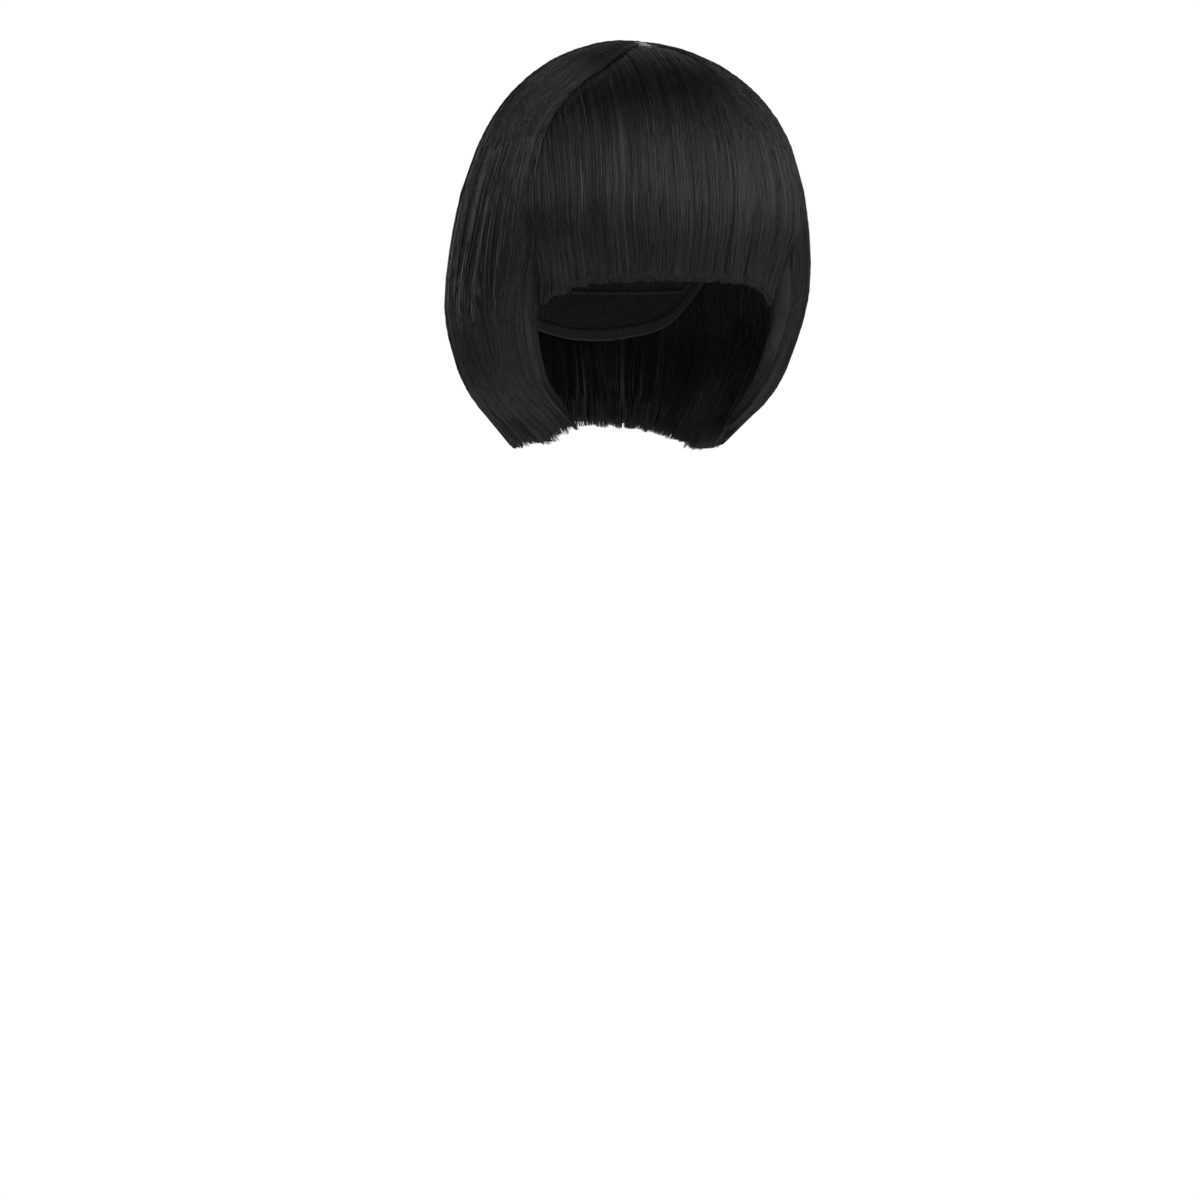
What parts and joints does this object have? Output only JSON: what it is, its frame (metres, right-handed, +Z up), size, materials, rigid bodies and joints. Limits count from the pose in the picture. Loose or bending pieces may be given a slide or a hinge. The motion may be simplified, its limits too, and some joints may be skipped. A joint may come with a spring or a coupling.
{
  "type": "bob wig",
  "caption": "Short straight bob wig with a full fringe and curled-in sides, on a plain cap that fits over a head.",
  "frame": {"origin": "inside of the cap at the crown, where the wig sits on the top of the head", "axes": "+Z up out of the crown, -Y towards the face, so the wearer's left is +X"},
  "size_m": [0.2147, 0.2364, 0.2409],
  "materials": {
    "hair": "smooth black synthetic fibre with a soft sheen",
    "cap": "matt charcoal stretch mesh",
    "scalp": "matt skin-coloured patch"
  },
  "bodies": {
    "root": {"fringe": "hair", "left_side": "hair", "right_side": "hair", "back": "hair", "cap": "cap", "scalp_patch": "scalp"}
  },
  "joints": []
}
